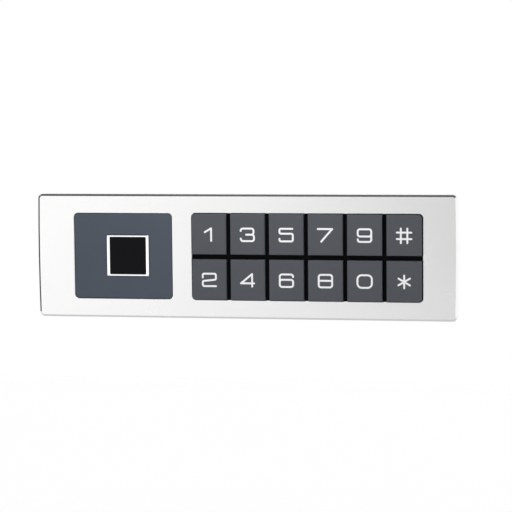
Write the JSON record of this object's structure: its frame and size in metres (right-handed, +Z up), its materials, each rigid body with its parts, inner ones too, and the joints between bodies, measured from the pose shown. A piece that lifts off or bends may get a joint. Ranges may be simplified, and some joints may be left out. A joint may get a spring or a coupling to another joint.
{
  "type": "fingerprint scanner terminal",
  "caption": "Wide, low access-control terminal: a satin aluminium frame holds a square fingerprint sensor and a two-row numeric keypad, over a housing that passes through a panel.",
  "frame": {"origin": "middle of the panel seat, on the rear face of the gasket, where the terminal meets the panel", "axes": "+Z up, +X to the right as seen by the user, +Y into the panel, so the face looks towards -Y"},
  "size_m": [0.14, 0.0242, 0.041],
  "materials": {
    "frame_metal": "bead blasted and clear anodised",
    "slate_plastic": "fine moulded texture",
    "bezel_chrome": "polished",
    "black_glass": "black coating over the sensor die",
    "soft_black": "closed-cell foam and soft rubber",
    "chip_black": "epoxy moulding compound",
    "board_green": "solder mask over glass-epoxy laminate",
    "socket_white": "nylon",
    "flex_amber": "polyimide",
    "plated_steel": "zinc plated",
    "frame_black": "fine moulded texture",
    "mat_silicone": "translucent silicone",
    "carbon_black": "carbon-filled silicone",
    "gold_plate": "gold plate over copper",
    "can_metal": "drawn can",
    "buzzer_black": "moulded",
    "housing_black": "spark-eroded moulded texture",
    "insert_brass": "turned",
    "key_plastic": "fine moulded texture",
    "legend_white": "second shot of the moulding"
  },
  "bodies": {
    "terminal": {"board_screws": "plated_steel", "buzzer": "buzzer_black", "cable_grommet": "soft_black", "capacitors": "can_metal", "case_screws": "plated_steel", "chip_resistors": "chip_black", "contact_pads": "gold_plate", "contact_pills": "carbon_black", "crystal": "can_metal", "flex_socket": "socket_white", "front_frame": "frame_metal", "key_frame": "frame_black", "key_frame_screws": "plated_steel", "key_mat": "mat_silicone", "lock_socket": "socket_white", "main_board": "board_green", "mcu": "chip_black", "memory_chip": "chip_black", "motor_driver": "chip_black", "mount_inserts": "insert_brass", "panel_gasket": "soft_black", "power_socket": "socket_white", "rear_housing": "housing_black", "regulator": "chip_black", "sensor_bezel": "bezel_chrome", "sensor_board": "board_green", "sensor_bracket": "plated_steel", "sensor_bracket_screws": "plated_steel", "sensor_flex": "flex_amber", "sensor_glass": "black_glass", "sensor_package": "chip_black", "sensor_panel": "slate_plastic", "sensor_panel_screws": "plated_steel", "sensor_processor": "chip_black", "sensor_seal": "soft_black", "sensor_socket": "socket_white"},
    "key_1": {"key_1": "key_plastic", "legend_1": "legend_white"},
    "key_3": {"key_3": "key_plastic", "legend_3": "legend_white"},
    "key_5": {"key_5": "key_plastic", "legend_5": "legend_white"},
    "key_7": {"key_7": "key_plastic", "legend_7": "legend_white"},
    "key_9": {"key_9": "key_plastic", "legend_9": "legend_white"},
    "key_hash": {"key_hash": "key_plastic", "legend_hash": "legend_white"},
    "key_2": {"key_2": "key_plastic", "legend_2": "legend_white"},
    "key_4": {"key_4": "key_plastic", "legend_4": "legend_white"},
    "key_6": {"key_6": "key_plastic", "legend_6": "legend_white"},
    "key_8": {"key_8": "key_plastic", "legend_8": "legend_white"},
    "key_0": {"key_0": "key_plastic", "legend_0": "legend_white"},
    "key_star": {"key_star": "key_plastic", "legend_star": "legend_white"}
  },
  "joints": [
    {"name": "press_1", "type": "slide", "parent": "terminal", "child": "key_1", "axis": [0, 1, 0], "range_m": [0, 0.0009], "stiffness_N_per_m": 900, "springref_m": -0.0004, "deforming": ["key_mat"]},
    {"name": "press_3", "type": "slide", "parent": "terminal", "child": "key_3", "axis": [0, 1, 0], "range_m": [0, 0.0009], "stiffness_N_per_m": 900, "springref_m": -0.0004, "deforming": ["key_mat"]},
    {"name": "press_5", "type": "slide", "parent": "terminal", "child": "key_5", "axis": [0, 1, 0], "range_m": [0, 0.0009], "stiffness_N_per_m": 900, "springref_m": -0.0004, "deforming": ["key_mat"]},
    {"name": "press_7", "type": "slide", "parent": "terminal", "child": "key_7", "axis": [0, 1, 0], "range_m": [0, 0.0009], "stiffness_N_per_m": 900, "springref_m": -0.0004, "deforming": ["key_mat"]},
    {"name": "press_9", "type": "slide", "parent": "terminal", "child": "key_9", "axis": [0, 1, 0], "range_m": [0, 0.0009], "stiffness_N_per_m": 900, "springref_m": -0.0004, "deforming": ["key_mat"]},
    {"name": "press_hash", "type": "slide", "parent": "terminal", "child": "key_hash", "axis": [0, 1, 0], "range_m": [0, 0.0009], "stiffness_N_per_m": 900, "springref_m": -0.0004, "deforming": ["key_mat"]},
    {"name": "press_2", "type": "slide", "parent": "terminal", "child": "key_2", "axis": [0, 1, 0], "range_m": [0, 0.0009], "stiffness_N_per_m": 900, "springref_m": -0.0004, "deforming": ["key_mat"]},
    {"name": "press_4", "type": "slide", "parent": "terminal", "child": "key_4", "axis": [0, 1, 0], "range_m": [0, 0.0009], "stiffness_N_per_m": 900, "springref_m": -0.0004, "deforming": ["key_mat"]},
    {"name": "press_6", "type": "slide", "parent": "terminal", "child": "key_6", "axis": [0, 1, 0], "range_m": [0, 0.0009], "stiffness_N_per_m": 900, "springref_m": -0.0004, "deforming": ["key_mat"]},
    {"name": "press_8", "type": "slide", "parent": "terminal", "child": "key_8", "axis": [0, 1, 0], "range_m": [0, 0.0009], "stiffness_N_per_m": 900, "springref_m": -0.0004, "deforming": ["key_mat"]},
    {"name": "press_0", "type": "slide", "parent": "terminal", "child": "key_0", "axis": [0, 1, 0], "range_m": [0, 0.0009], "stiffness_N_per_m": 900, "springref_m": -0.0004, "deforming": ["key_mat"]},
    {"name": "press_star", "type": "slide", "parent": "terminal", "child": "key_star", "axis": [0, 1, 0], "range_m": [0, 0.0009], "stiffness_N_per_m": 900, "springref_m": -0.0004, "deforming": ["key_mat"]}
  ]
}
